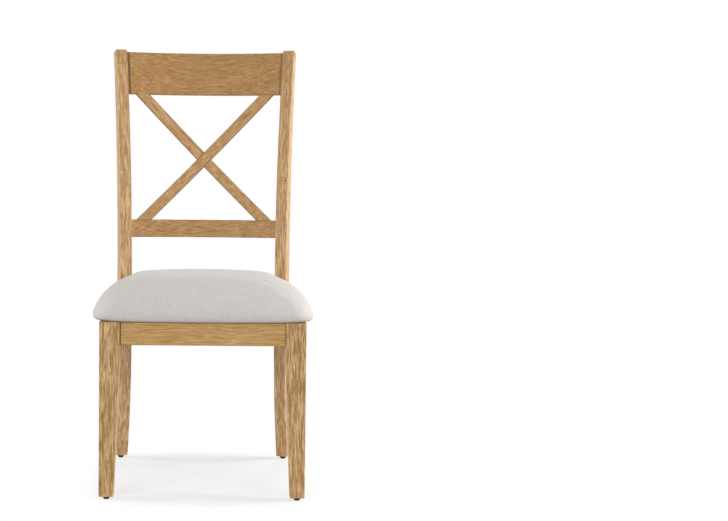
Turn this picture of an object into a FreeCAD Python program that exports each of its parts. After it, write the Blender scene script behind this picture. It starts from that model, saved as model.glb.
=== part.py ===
import FreeCAD, Part
import math
import os

import Sketcher

# Cross back dining chair: solid wood frame with a padded seat, all sizes in millimetres.
# The chair faces -Y, +X is its right side as seen from the front, and +Z is up.

SIZES = {
    # seat frame
    "front_face": -267,
    "frame_top": 378,
    "rail_height": 49,
    "rail_thickness": 22,
    "rail_rounding": 1.5,
    "apron_setback": 3,
    "side_rail_setback": 5,
    "side_rail_post_setback": 1,
    "rear_rail_run": 14,
    "seat_run": 414,
    # front legs, tapered on their two inner faces
    "leg_half_span": 218,
    "leg_width": 43,
    "leg_foot_width": 31,
    "leg_rounding": 2,
    # back posts, turned in about the vertical and bent backwards above and below the seat
    "post_half_span": 199,
    "toe_in": 14.5,
    "post_thickness": 28,
    "post_depth": 42,
    "post_top_depth": 28,
    "post_foot_depth": 30,
    "post_top_rake": 75.4,
    "post_foot_rake": 42,
    "bend_below_rails": 39,
    "bend_above_frame": 74,
    "post_top": 1001,
    "post_top_drop": 4,
    "post_bevel": 1.6,
    # crest rail and lower back rail, bent to one bow
    "bow_radius": 625,
    "crest_drop": 5.5,
    "crest_height": 103.8,
    "crest_thickness": 22,
    "crest_setback": 3,
    "crest_shoulder": 15,
    "lower_rise": 166.2,
    "lower_height": 42.3,
    "lower_thickness": 20,
    "lower_setback": 3,
    "lower_shoulder": 7,
    "back_rail_rounding": 1.5,
    "rail_tenon_thickness": 10,
    "rail_tenon_length": 18,
    # the two crossing braces
    "crossing_drop": 5.1,
    "brace_run": 293.7,
    "brace_width": 24.3,
    "brace_thickness": 16,
    "brace_setback": 0.3,
    "brace_bevel": 1.2,
    "brace_tenon_width": 18,
    "brace_tenon_thickness": 8,
    "brace_tenon_length": 12,
    # fits
    "joint_clearance": 0.05,
    "end_clearance": 0.5,
    # dowels of the seat frame
    "dowel_radius": 4,
    "dowel_in_post": 12,
    "dowel_in_rail": 18,
    "dowel_spacing": 24,
    "side_dowel_inset": 10.5,
    "rear_dowel_run": 16,
    # corner blocks and screws
    "block_height": 30,
    "block_face": 35,
    "block_gap": 25,
    "rear_block_gap": 21,
    "screw_radius": 2,
    "screw_head_radius": 4,
    "screw_head_height": 2.5,
    "screw_slot": 1,
    "block_screw_grip": 14,
    "block_screw_bite": 15,
    "seat_screw_bite": 10,
    "counterbore_radius": 4.5,
    # foot glides
    "glide_height": 7,
    "glide_radius": 8.3,
    "glide_foot_radius": 5.3,
    "glide_rim": 2,
    "nail_radius": 1.2,
    "nail_head_radius": 3,
    "nail_head_height": 1,
    "nail_recess": 1.5,
    "nail_bite": 18,
    # seat pad
    "pad_over_front": 12,
    "pad_over_leg": 19.5,
    "pad_over_post": 13.6,
    "pad_back_run": 38,
    "pad_bow_radius": 1800,
    "pad_corner_radius": 45,
    "pad_rear_radius": 20,
    "pad_widest": 14,
    "pad_tuck": 10,
    "pad_crown": 81.6,
    "crown_power": 1.4,
    "edge_power": 6.86,
    "crown_share": 0.99,
    "corner_growth": 1,
    "corner_share": 0.8,
    "cover_thickness": 1,
    "cover_return": 25,
    "foam_gap": 0.3,
    "board_thickness": 12,
    "board_inset": 22,
    "board_gap": 3,
    "notch_gap": 1.5,
}

# How many lofted sections lie below the widest line of the pad, and how many above it.
LOW_SECTIONS = 3
HIGH_SECTIONS = 8

# Tools that cut a whole end or side away only have to be larger than the chair.
BEYOND = 700
HALF_BEYOND = 350

AXES = {"x": "vector(1; 0; 0)", "y": "vector(0; 1; 0)", "z": "vector(0; 0; 1)"}

doc = FreeCAD.newDocument("cross_back_chair")
sheet = doc.addObject("Spreadsheet::Sheet", "Sheet")
layout = doc.addObject("App::VarSet", "Layout")
nodes = []


def fill_sheet():
    for row, (word, size) in enumerate(SIZES.items(), 1):
        sheet.set(f"A{row}", str(size))
        sheet.setAlias(f"A{row}", word)
    doc.recompute()


def value(expression):
    """What an expression on the sheet and the layout comes to, as a plain number."""
    result = sheet.evalExpression(expression)
    return float(getattr(result, "Value", result))


def derive(name, expression, kind="App::PropertyFloat"):
    """A place or an angle worked out from the sheet, kept under its own name in the layout."""
    layout.addProperty(kind, name)
    layout.setExpression(name, expression)


def place(across, back, up, *turns):
    """Expression of a placement: a point, then turns in degrees about its axes."""
    spins = [f"rotation({AXES[axis]}; {angle})" for axis, angle in turns]
    spin = " * ".join(spins) or "rotation(vector(0; 0; 1); 0)"
    return f"placement(vector({across}; {back}; {up}); {spin})"


def derive_layout():
    """Where the pieces of the frame lie, how the curved back leans, and the seat's outline."""
    derive("rail_bottom", "Sheet.frame_top - Sheet.rail_height")
    derive("lower_bend", "Layout.rail_bottom - Sheet.bend_below_rails")
    derive("upper_bend", "Sheet.frame_top + Sheet.bend_above_frame")
    derive("crest_bottom", "Sheet.post_top - Sheet.crest_drop - Sheet.crest_height")
    derive("lower_bottom", "Sheet.frame_top + Sheet.lower_rise")
    derive("lower_top", "Layout.lower_bottom + Sheet.lower_height")
    derive("crossing_height", "(Layout.crest_bottom + Layout.lower_top) / 2 - Sheet.crossing_drop")
    derive("brace_lean", "atan(Sheet.brace_run / (Layout.crest_bottom - Layout.lower_top))",
           "App::PropertyAngle")
    derive("post_line", "Sheet.front_face + Sheet.seat_run")
    derive("top_arc", "((Sheet.post_top - Layout.upper_bend)^2 + Sheet.post_top_rake^2)"
                      " / (2 * Sheet.post_top_rake)")
    for rail in ("crest", "lower"):
        rise = f"(Layout.{rail}_bottom + Sheet.{rail}_height / 2 - Layout.upper_bend)"
        derive(f"{rail}_run", f"Layout.top_arc - sqrt(Layout.top_arc^2 - {rise}^2)")
        derive(f"{rail}_tilt", f"asin({rise} / Layout.top_arc)", "App::PropertyAngle")
        derive(f"{rail}_half_span",
               "Sheet.post_half_span - Sheet.post_thickness * cos(Sheet.toe_in)"
               f" + Layout.{rail}_run * sin(Sheet.toe_in)")
        derive(f"{rail}_line",
               "Layout.post_line + Sheet.post_thickness * sin(Sheet.toe_in)"
               f" + Layout.{rail}_run * cos(Sheet.toe_in) + Sheet.{rail}_setback"
               f" + Sheet.bow_radius - sqrt(Sheet.bow_radius^2 - Layout.{rail}_half_span^2)"
               f" - Sheet.{rail}_height / 2 * tan(Layout.{rail}_tilt)")
    derive("lower_top_line", "Layout.lower_line + Sheet.lower_height * tan(Layout.lower_tilt)")
    derive("brace_rake",
           "atan((Layout.crest_line - Layout.lower_top_line)"
           " / (Layout.crest_bottom - Layout.lower_top))",
           "App::PropertyAngle")
    derive("crossing_line",
           "Layout.lower_top_line + Sheet.brace_setback"
           " + (Layout.crossing_height - Layout.lower_top) * tan(Layout.brace_rake)")
    derive("brace_radius", "Sheet.bow_radius / sin(Layout.brace_lean)^2")
    derive("rail_front", "Sheet.leg_half_span - Sheet.side_rail_setback")
    derive("leg_back", "Sheet.front_face + Sheet.leg_width")
    derive("side_angle",
           "atan((Layout.rail_front - Sheet.post_half_span"
           " + Sheet.side_rail_post_setback * cos(Sheet.toe_in))"
           " / (Layout.post_line + Sheet.side_rail_post_setback * sin(Sheet.toe_in) - Layout.leg_back))",
           "App::PropertyAngle")
    derive("side_rail_cut",
           "Sheet.side_rail_post_setback"
           " + Sheet.rail_thickness / cos(Layout.side_angle + Sheet.toe_in * 1 deg)")
    derive("inner_corner_across", "Sheet.post_half_span - Sheet.post_thickness * cos(Sheet.toe_in)")
    derive("inner_corner_back", "Layout.post_line + Sheet.post_thickness * sin(Sheet.toe_in)")
    derive("rear_rail_face", "Layout.post_line + Sheet.rear_rail_run")
    derive("pad_angle",
           "atan((Sheet.leg_half_span + Sheet.pad_over_leg - Sheet.post_half_span - Sheet.pad_over_post)"
           " / Sheet.seat_run)", "App::PropertyAngle")
    derive("pad_side",
           "(Sheet.leg_half_span + Sheet.pad_over_leg) * cos(Layout.pad_angle)"
           " + Sheet.front_face * sin(Layout.pad_angle)")
    derive("pad_front", "Sheet.front_face - Sheet.pad_over_front")
    derive("pad_rear", "Layout.post_line + Sheet.pad_back_run")
    derive("board_bottom", "Sheet.frame_top + Sheet.cover_thickness")
    doc.recompute()


POST_PLACE = place("Sheet.post_half_span", "Layout.post_line", "0", ("z", "-Sheet.toe_in"))


def brace_place(side):
    """Frame of a brace: its origin on the axis that the brace is bent about."""
    rake = "Layout.brace_rake"
    return place("0", f"Layout.crossing_line - Layout.brace_radius * cos({rake})",
                 f"Layout.crossing_height + Layout.brace_radius * sin({rake})",
                 ("x", f"-{rake}"), ("y", f"{side}Layout.brace_lean"))


def new_body(name, where):
    body = doc.addObject("PartDesign::Body", name)
    body.setExpression("Placement", where)
    return body


def new_sketch(body, name, plane, level=None):
    """Sketch on one of the body's own planes, raised from it by a level where one is given."""
    sketch = body.newObject("Sketcher::SketchObject", name)
    origin = [item for item in body.Origin.OriginFeatures if item.Role == plane]
    sketch.AttachmentSupport = (origin[0], [""])
    sketch.MapMode = "FlatFace"
    if level is not None:
        sketch.setExpression("AttachmentOffset.Base.z", level)
    return sketch


def bind(sketch, expression, kind, *links):
    """Adds a dimension to a sketch and ties it to an expression."""
    number = sketch.addConstraint(Sketcher.Constraint(kind, *links, value(expression)))
    sketch.setExpression(f"Constraints[{number}]", expression)


def hold(sketch, edge, end, across, up):
    """Ties one end of an edge to its two distances from the sketch's origin."""
    for kind, distance, axis in (("DistanceX", across, -2), ("DistanceY", up, -1)):
        if distance == "0":
            sketch.addConstraint(Sketcher.Constraint("PointOnObject", edge, end, axis))
        else:
            bind(sketch, distance, kind, -1, 1, edge, end)


def join(sketch, kind, pair):
    """Joins one edge's last point to the next edge's first point, coincident or tangent."""
    (first, _, leaving), (second, entering, _) = pair
    sketch.addConstraint(Sketcher.Constraint(kind, first, leaving, second, entering))


def add_line(sketch, start, end):
    return sketch.addGeometry(Part.LineSegment(start, end), False), 1, 2


def add_arc(sketch, start, end, centre):
    """Adds the shorter arc and says which of its stored ends is the start and which the end."""
    upright = FreeCAD.Vector(0, 0, 1)
    angles = [math.atan2(point.y - centre.y, point.x - centre.x) for point in (start, end)]
    forward = (angles[1] - angles[0]) % (2 * math.pi) < math.pi
    if not forward:
        angles.reverse()
    circle = Part.Circle(centre, upright, start.distanceToPoint(centre))
    index = sketch.addGeometry(Part.ArcOfCircle(circle, *angles), False)
    return (index, 1, 2) if forward else (index, 2, 1)


def polygon(body, name, plane, corners, level=None):
    """Closed outline of straight edges, each corner held at its two distances."""
    sketch = new_sketch(body, name, plane, level)
    points = [FreeCAD.Vector(value(across), value(up), 0) for across, up in corners]
    edges = []
    for start, end in zip(points, points[1:] + points[:1]):
        edges.append(add_line(sketch, start, end))
    for pair in zip(edges, edges[1:] + edges[:1]):
        join(sketch, "Coincident", pair)
    for (index, start, _), (across, up) in zip(edges, corners):
        hold(sketch, index, start, across, up)
    return sketch


def pad(body, name, sketch, length, reverse=False):
    feature = body.newObject("PartDesign::Pad", name)
    feature.Profile = sketch
    feature.setExpression("Length", length)
    feature.Reversed = reverse
    doc.recompute()
    return feature


def ease_edges(body, name, kind, size, wanted):
    """Takes off the edges of the body's last feature that the test picks."""
    last = body.Tip
    chosen = [f"Edge{n}" for n, edge in enumerate(last.Shape.Edges, 1) if wanted(edge)]
    eased = body.newObject(f"PartDesign::{kind}", name)
    eased.Base = (last, chosen)
    eased.setExpression("Size" if kind == "Chamfer" else "Radius", size)
    doc.recompute()


def round_edges(body, name, radius, wanted):
    ease_edges(body, name, "Fillet", radius, wanted)


def bevel_edges(body, name, width, wanted):
    ease_edges(body, name, "Chamfer", width, wanted)


def plan_prism(name, corners, bottom, height):
    """Upright prism on a plan outline."""
    body = new_body(name, place("0", "0", bottom))
    outline = polygon(body, f"{name}_plan", "XY_Plane", corners)
    pad(body, f"{name}_pad", outline, height)
    return body


def is_long_bottom_edge(edge):
    """A prism's long edges on its underside, in the prism's own frame."""
    heights = [vertex.Point.z for vertex in edge.Vertexes]
    return max(heights) < 0.01 and edge.Length > value("Sheet.rail_thickness") * 3


def cylinder(name, radius, height, where):
    item = doc.addObject("Part::Cylinder", name)
    item.setExpression("Radius", radius)
    item.setExpression("Height", height)
    item.setExpression("Placement", where)
    return item


def box(name, across, back, up, where):
    item = doc.addObject("Part::Box", name)
    item.setExpression("Length", across)
    item.setExpression("Width", back)
    item.setExpression("Height", up)
    item.setExpression("Placement", where)
    return item


def mirrored(name, source):
    item = doc.addObject("Part::Mirroring", name)
    item.Source = source
    item.Base = FreeCAD.Vector(0, 0, 0)
    item.Normal = FreeCAD.Vector(1, 0, 0)
    return item


def compound(name, items):
    group = doc.addObject("Part::Compound", name)
    group.Links = items
    return group


def both_sides(name, source):
    return compound(name, [source, mirrored(f"{name}_left", source)])


def cut(name, base, tool):
    item = doc.addObject("Part::Cut", name)
    item.Base = base
    item.Tool = tool
    return item


def fuse(name, items):
    item = doc.addObject("Part::MultiFuse", name)
    item.Shapes = items
    return item


def finish(item, label):
    """Gives a finished sub-part the name that it keeps."""
    item.Label = label
    nodes.append(item)


def front_leg_blank():
    """Square leg in the frame of its outer front arris, then tapered on its rear face too."""
    body = new_body("leg_blank", place("Sheet.leg_half_span", "Sheet.front_face", "0"))
    face = polygon(body, "leg_face", "XZ_Plane", [
        ("-Sheet.leg_width", "Sheet.frame_top"),
        ("0", "Sheet.frame_top"),
        ("0", "Sheet.glide_height"),
        ("-Sheet.leg_foot_width", "Sheet.glide_height"),
        ("-Sheet.leg_width", "Layout.rail_bottom"),
    ])
    pad(body, "leg_pad", face, "Sheet.leg_width", reverse=True)
    taper = polygon(body, "leg_taper", "YZ_Plane", [
        ("Sheet.leg_width", "Layout.rail_bottom"),
        ("Sheet.leg_width", "Sheet.glide_height"),
        ("Sheet.leg_foot_width", "Sheet.glide_height"),
    ])
    pocket = body.newObject("PartDesign::Pocket", "leg_taper_cut")
    pocket.Profile = taper
    pocket.Type = "ThroughAll"
    pocket.Midplane = True
    doc.recompute()
    middle = value("Sheet.leg_width") / 2

    def on_show(edge):
        """Every arris but the one inside the seat frame and those round the two levels ends."""
        heights = [vertex.Point.z for vertex in edge.Vertexes]
        centre = edge.CenterOfMass
        hidden = centre.x < -middle and centre.y > middle
        return max(heights) - min(heights) > middle and not hidden

    round_edges(body, "leg_arrises", "Sheet.leg_rounding", on_show)
    return body


def post_profile(body):
    """Side outline of a post: straight at the seat, tangent arcs above and below it."""
    sketch = new_sketch(body, "post_side", "YZ_Plane")
    foot = "Sheet.glide_height"
    rear_top = "Sheet.post_top_rake + Sheet.post_top_depth"
    rear_foot = "Sheet.post_foot_rake + Sheet.post_foot_depth"
    corners = [
        ("0", "Layout.lower_bend"),
        ("0", "Layout.upper_bend"),
        ("Sheet.post_top_rake", "Sheet.post_top"),
        (rear_top, "Sheet.post_top - Sheet.post_top_drop"),
        ("Sheet.post_depth", "Layout.upper_bend"),
        ("Sheet.post_depth", "Layout.lower_bend"),
        (rear_foot, foot),
        ("Sheet.post_foot_rake", foot),
    ]
    points = [FreeCAD.Vector(value(run), value(rise), 0) for run, rise in corners]

    def tangent_centre(bend, tip):
        """Centre of the arc that leaves the upright at the bend and ends at the tip."""
        step = tip - bend
        radius = (step.x ** 2 + step.y ** 2) / (2 * step.x)
        return bend + FreeCAD.Vector(radius, 0, 0)

    edges = []
    for number, start in enumerate(points):
        end = points[(number + 1) % len(points)]
        if number in (1, 5):
            edges.append(add_arc(sketch, start, end, tangent_centre(start, end)))
        elif number in (3, 7):
            edges.append(add_arc(sketch, start, end, tangent_centre(end, start)))
        else:
            edges.append(add_line(sketch, start, end))
    for number, pair in enumerate(zip(edges, edges[1:] + edges[:1])):
        smooth = number in (0, 3, 4, 7)
        join(sketch, "Tangent" if smooth else "Coincident", pair)
    for (index, start, _), (run, rise) in zip(edges, corners):
        hold(sketch, index, start, run, rise)
    return sketch


def back_post_blank():
    """Bent plank in the frame of its outer front arris at the seat."""
    body = new_body("post_blank", POST_PLACE)
    pad(body, "post_pad", post_profile(body), "Sheet.post_thickness", reverse=True)
    top = value("Sheet.post_top - Sheet.post_top_drop") - 1
    foot = value("Sheet.glide_height") + 1

    def on_arris(edge):
        """Edges along the two side faces but for the foot, and the two across the top end."""
        sides = {round(vertex.Point.x, 3) for vertex in edge.Vertexes}
        heights = [vertex.Point.z for vertex in edge.Vertexes]
        return len(sides) == 1 and max(heights) > foot or min(heights) > top

    bevel_edges(body, "post_arrises", "Sheet.post_bevel", on_arris)
    return body


def bowed_bar(name, rail, shoulder, thickness, front, rounding=None):
    """Bar with level edges, bowed in plan and leaning back as the posts do; the shoulder is what
    its height lacks at each edge, and the front is how far it lies behind the rail's front face."""
    lean = f"tan(Layout.{rail}_tilt)"
    body = new_body(name, place("0", f"Layout.{rail}_line + ({shoulder}) * {lean} - Sheet.bow_radius",
                                f"Layout.{rail}_bottom + {shoulder}"))
    plan = new_sketch(body, f"{name}_plan", "XY_Plane")
    reach = "(Sheet.post_half_span + Sheet.post_top_rake * sin(Sheet.toe_in))"
    near = f"(Sheet.bow_radius + ({front}) / cos(Layout.{rail}_tilt))"
    far = f"({near} + {thickness} / cos(Layout.{rail}_tilt))"
    near_end = f"sqrt({near}^2 - {reach}^2)"
    far_end = f"sqrt({far}^2 - {reach}^2)"
    corners = [(f"-{reach}", near_end), (reach, near_end), (reach, far_end), (f"-{reach}", far_end)]
    points = [FreeCAD.Vector(value(across), value(back), 0) for across, back in corners]
    centre = FreeCAD.Vector(0, 0, 0)
    edges = [
        add_arc(plan, points[0], points[1], centre),
        add_line(plan, points[1], points[2]),
        add_arc(plan, points[2], points[3], centre),
        add_line(plan, points[3], points[0]),
    ]
    for pair in zip(edges, edges[1:] + edges[:1]):
        join(plan, "Coincident", pair)
    for (index, first, _), (across, back) in zip(edges, corners):
        hold(plan, index, first, across, back)
    bind(plan, near, "Radius", 0)
    bind(plan, far, "Radius", 2)
    lift = pad(body, f"{name}_lift", plan, f"Sheet.{rail}_height - 2 * ({shoulder})")
    lift.UseCustomVector = True
    lift.setExpression("Direction.y", lean)
    lift.setExpression("Direction.z", "1")
    lift.AlongSketchNormal = True
    doc.recompute()
    if rounding:
        longest = value("Sheet.post_half_span")
        round_edges(body, f"{name}_arrises", rounding, lambda edge: edge.Length > longest)
    return body


def bent_brace(name, side, width, thickness, front, bevel=None):
    """Straight run of wood bent about an axis across it, in the frame of one brace."""
    body = new_body(name, brace_place(side))
    near = f"Layout.brace_radius + ({front})"
    far = f"{near} + {thickness}"
    section = polygon(body, f"{name}_section", "XY_Plane", [
        (f"-({width}) / 2", near),
        (f"({width}) / 2", near),
        (f"({width}) / 2", far),
        (f"-({width}) / 2", far),
    ])
    bend = body.newObject("PartDesign::Revolution", f"{name}_bend")
    bend.Profile = section
    bend.ReferenceAxis = (section, ["H_Axis"])
    reach = "((Layout.crest_bottom - Layout.lower_top) / cos(Layout.brace_lean))"
    bend.setExpression("Angle", f"2 * atan({reach} / Layout.brace_radius)")
    bend.Midplane = True
    doc.recompute()
    if bevel:
        bevel_edges(body, f"{name}_arrises", bevel, lambda edge: isinstance(edge.Curve, Part.Circle))
    return body


def post_space(name, depth):
    """All that lies outside a plane a given depth into the posts, on both sides."""
    start = f"{depth} - Sheet.post_thickness"
    where = f"{POST_PLACE} * {place(start, f'-{HALF_BEYOND}', '0')}"
    return both_sides(name, box(f"{name}_right", f"{BEYOND}", f"{BEYOND}", "2 * Sheet.post_top", where))


def beyond_rails(name, depth):
    """All that lies above a level a given depth into the crest, or below one in the lower rail."""
    levels = {"crest": f"Layout.crest_bottom + {depth}", "lower": f"Layout.lower_top - {depth} - {BEYOND}"}
    boxes = []
    for rail, level in levels.items():
        where = place(f"-{HALF_BEYOND}", f"Layout.crossing_line - {HALF_BEYOND}", level)
        boxes.append(box(f"{name}_{rail}", f"{BEYOND}", f"{BEYOND}", f"{BEYOND}", where))
    return compound(name, boxes)


def dowel_pair(name, seat):
    """Two dowels, one above the other, and their holes: the seat is a frame on the joint's face
    at the rails' mid height, made for a given step up, with its Z axis pointing into the rail."""
    pegs = []
    holes = []
    for level, step in (("low", "-Sheet.dowel_spacing / 2"), ("high", "Sheet.dowel_spacing / 2")):
        frame = seat(f"Sheet.frame_top - Sheet.rail_height / 2 + {step}")
        start = place("0", "0", "-Sheet.dowel_in_post")
        deeper = place("0", "0", "-Sheet.dowel_in_post - Sheet.end_clearance")
        length = "Sheet.dowel_in_post + Sheet.dowel_in_rail"
        pegs.append(cylinder(f"{name}_{level}", "Sheet.dowel_radius", length, f"{frame} * {start}"))
        holes.append(cylinder(f"{name}_{level}_hole", "Sheet.dowel_radius + Sheet.joint_clearance",
                              f"{length} + 2 * Sheet.end_clearance", f"{frame} * {deeper}"))
    return pegs, holes


def turned_body(name, where, corners):
    """Body turned about its own Z axis from a half outline."""
    body = new_body(name, where)
    outline = polygon(body, f"{name}_half", "XZ_Plane", corners)
    turn = body.newObject("PartDesign::Revolution", f"{name}_turn")
    turn.Profile = outline
    turn.ReferenceAxis = (outline, ["V_Axis"])
    turn.Angle = 360
    doc.recompute()
    return body


def fastener(name, where, radius, length, head_radius, head_height):
    """Headed pin with a point; its Z axis runs from the head's underside to the point."""
    return turned_body(name, where, [
        ("0", f"-{head_height}"),
        (head_radius, f"-{head_height}"),
        (head_radius, "0"),
        (radius, "0"),
        (radius, f"{length} - 2 * {radius}"),
        ("0", length),
    ])


def screw(name, where, length):
    """Pan head wood screw with a cross recess."""
    body = fastener(name, where, "Sheet.screw_radius", length,
                    "Sheet.screw_head_radius", "Sheet.screw_head_height")
    arm = "Sheet.screw_head_radius / 2"
    half = "Sheet.screw_slot / 2"
    for turn, (across, up) in (("wide", (arm, half)), ("tall", (half, arm))):
        slot = polygon(body, f"{name}_{turn}", "XY_Plane", [
            (f"-{across}", f"-{up}"),
            (across, f"-{up}"),
            (across, up),
            (f"-{across}", up),
        ], level="-Sheet.screw_head_height")
        recess = body.newObject("PartDesign::Pocket", f"{name}_{turn}_recess")
        recess.Profile = slot
        recess.setExpression("Length", "Sheet.screw_head_height / 2")
        recess.Reversed = True
        doc.recompute()
    return body


def screw_hole(name, where, length):
    return cylinder(name, "Sheet.screw_radius + Sheet.joint_clearance",
                    f"{length} + Sheet.end_clearance", where)


def glide(name, where):
    """Domed foot with a flat sole and a recess for the nail's head."""
    body = turned_body(name, where, [
        ("0", "0"),
        ("Sheet.glide_foot_radius", "0"),
        ("Sheet.glide_radius", "Sheet.glide_height - Sheet.glide_rim"),
        ("Sheet.glide_radius", "Sheet.glide_height"),
        ("0", "Sheet.glide_height"),
    ])
    rim = value("Sheet.glide_height - Sheet.glide_rim")
    round_edges(body, f"{name}_dome", "Sheet.glide_rim * 2",
                lambda edge: isinstance(edge.Curve, Part.Circle) and abs(edge.CenterOfMass.z - rim) < 0.01)
    return body


def glide_set(name, where):
    """A glide, its nail and the nail's holes, in a frame on the floor under a leg's middle."""
    head_top = "Sheet.nail_recess + Sheet.nail_head_height"
    nail_place = f"{where} * {place('0', '0', head_top)}"
    length = f"Sheet.glide_height - {head_top} + Sheet.nail_bite"
    nail = fastener(f"{name}_nail", nail_place, "Sheet.nail_radius", length,
                    "Sheet.nail_head_radius", "Sheet.nail_head_height")
    shank = cylinder(f"{name}_nail_hole", "Sheet.nail_radius + Sheet.joint_clearance",
                     f"{length} + Sheet.end_clearance", nail_place)
    recess = cylinder(f"{name}_recess", "Sheet.nail_head_radius + Sheet.joint_clearance",
                      head_top, where)
    return glide(name, where), nail, [shank, recess]


def rail_inside(back):
    """How far across the side rail's inner face lies at a given place from front to back."""
    return (f"Layout.rail_front - Sheet.rail_thickness / cos(Layout.side_angle)"
            f" - ({back} - Layout.leg_back) * tan(Layout.side_angle)")


def corner_block(name, across, cross_face, start, step):
    """Block across a corner of the seat frame, its two screws and the seat screw.

    It lies on a cross rail's face from the place given across, towards the middle, and on the
    side rail from the place given as start, in the direction of the step.
    """
    near, far = start, f"{start} {step} Sheet.block_face"
    middle = f"{start} {step} Sheet.block_face / 2"
    block_bottom = "Sheet.frame_top - Sheet.block_height"
    corners = [
        (f"{across} - Sheet.block_face", cross_face),
        (across, cross_face),
        (rail_inside(near), near),
        (rail_inside(far), far),
    ]
    block = plan_prism(name, corners, block_bottom, "Sheet.block_height")
    level = "Sheet.frame_top - Sheet.block_height / 2"
    length = "Sheet.block_screw_grip + Sheet.block_screw_bite"
    outward = "-90" if step == "-" else "90"
    seats = {
        "cross": place(f"{across} - Sheet.block_face / 2",
                       f"{cross_face} {step} Sheet.block_screw_grip", level, ("x", outward)),
        "side": place(f"{rail_inside(middle)} - Sheet.block_screw_grip", middle, level, ("y", "90")),
    }
    screws = []
    holes = []
    for side, seat in seats.items():
        screws.append(screw(f"{name}_{side}_screw", seat, length))
        holes.append(screw_hole(f"{name}_{side}_hole", seat, length))
        outside = f"{seat} * {place('0', '0', '-Sheet.block_face')}"
        holes.append(cylinder(f"{name}_{side}_counterbore", "Sheet.counterbore_radius",
                              "Sheet.block_face", outside))
    mean_across = " + ".join(f"({corner[0]})" for corner in corners)
    mean_back = " + ".join(f"({corner[1]})" for corner in corners)
    upright = place(f"({mean_across}) / 4", f"({mean_back}) / 4", block_bottom)
    lift = "Sheet.block_height + Sheet.cover_thickness + Sheet.seat_screw_bite"
    seat_screw = screw(f"{name}_seat_screw", upright, lift)
    holes.append(screw_hole(f"{name}_seat_hole", upright, lift))
    return block, screws, seat_screw, holes


def pad_outline(body, name, level, inset, skin="0"):
    """Seat outline at one level: bowed front, two straight sides and a straight rear edge,
    joined by round corners, all drawn in from the pad's widest outline by the inset and skin."""
    sketch = new_sketch(body, name, "XY_Plane", level)
    room = f"(Sheet.leg_half_span + Sheet.pad_over_leg - ({inset}))"
    limit = f"Sheet.corner_share * {room}"
    front_round = f"min(Sheet.pad_corner_radius + Sheet.corner_growth * ({inset}); {limit})"
    rear_round = f"min(Sheet.pad_rear_radius + Sheet.corner_growth * ({inset}); {limit})"
    bow_round = f"Sheet.pad_bow_radius - ({inset}) - ({skin})"
    bow_centre = "Layout.pad_front + Sheet.pad_bow_radius"
    side = f"Layout.pad_side - ({inset}) - ({skin})"
    rear_back = f"Layout.pad_rear - ({inset}) - ({skin}) - {rear_round}"
    rear_across = (f"({side} - {rear_round} - ({rear_back}) * sin(Layout.pad_angle))"
                   " / cos(Layout.pad_angle)")

    angle = math.radians(value("Layout.pad_angle"))
    outward = FreeCAD.Vector(math.cos(angle), math.sin(angle), 0)
    along = FreeCAD.Vector(-math.sin(angle), math.cos(angle), 0)
    back = FreeCAD.Vector(0, 1, 0)
    bow = FreeCAD.Vector(0, value(bow_centre), 0)
    front_radius = value(front_round)
    bow_radius = value(bow_round)
    offset = outward * (value(side) - front_radius) - bow
    slope = offset.dot(along)
    reach = slope + math.sqrt(slope ** 2 - offset.dot(offset) + (bow_radius - front_radius) ** 2)
    front_centre = bow + offset - along * reach
    rear_centre = FreeCAD.Vector(value(rear_across), value(rear_back), 0)

    def other(point):
        return FreeCAD.Vector(-point.x, point.y, 0)

    bow_end = bow + (front_centre - bow).normalize() * bow_radius
    side_front = front_centre + outward * front_radius
    side_rear = rear_centre + outward * value(rear_round)
    rear_end = rear_centre + back * value(rear_round)
    edges = [
        add_arc(sketch, other(bow_end), bow_end, bow),
        add_arc(sketch, bow_end, side_front, front_centre),
        add_line(sketch, side_front, side_rear),
        add_arc(sketch, side_rear, rear_end, rear_centre),
        add_line(sketch, rear_end, other(rear_end)),
        add_arc(sketch, other(rear_end), other(side_rear), other(rear_centre)),
        add_line(sketch, other(side_rear), other(side_front)),
        add_arc(sketch, other(side_front), other(bow_end), other(front_centre)),
    ]
    for pair in zip(edges, edges[1:] + edges[:1]):
        join(sketch, "Tangent", pair)
    hold(sketch, 0, 3, "0", bow_centre)
    hold(sketch, 3, 3, rear_across, rear_back)
    hold(sketch, 5, 3, f"-({rear_across})", rear_back)
    for radius, arcs in ((bow_round, (0,)), (front_round, (1, 7)), (rear_round, (3, 5))):
        for arc in arcs:
            bind(sketch, radius, "Radius", arc)
    for line in (2, 6):
        bind(sketch, side, "Distance", -1, 1, line)
    return sketch


def pad_loft(name, skin):
    """The padded seat drawn in by a skin: tucked in below its widest line, crowned above it."""
    body = new_body(name, place("0", "0", "Sheet.frame_top + Sheet.pad_widest"))
    sections = []
    for number in range(LOW_SECTIONS):
        angle = f"90 * (1 - {number} / {LOW_SECTIONS})"
        level = f"-(Sheet.pad_widest - ({skin})) * sin({angle})"
        inset = f"Sheet.pad_tuck * (1 - cos({angle}))"
        sections.append(pad_outline(body, f"{name}_low_{number}", level, inset, skin))
    reach = "(Sheet.leg_half_span + Sheet.pad_over_leg)"
    for number in range(HIGH_SECTIONS + 1):
        share = f"Sheet.crown_share * sin(90 * {number} / {HIGH_SECTIONS})"
        level = f"(Sheet.pad_crown - ({skin})) * {share}"
        inset = f"{reach} * (1 - (1 - ({share})^Sheet.crown_power)^(1 / Sheet.edge_power))"
        sections.append(pad_outline(body, f"{name}_high_{number}", level, inset, skin))
    doc.recompute()
    loft = body.newObject("PartDesign::AdditiveLoft", f"{name}_loft")
    loft.Profile = sections[0]
    loft.Sections = sections[1:]
    doc.recompute()
    return body


def pad_slab(name, inset, bottom, height):
    """Flat sheet of the seat's outline."""
    body = new_body(name, place("0", "0", bottom))
    pad(body, f"{name}_pad", pad_outline(body, f"{name}_outline", "0", inset), height)
    return body


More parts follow.
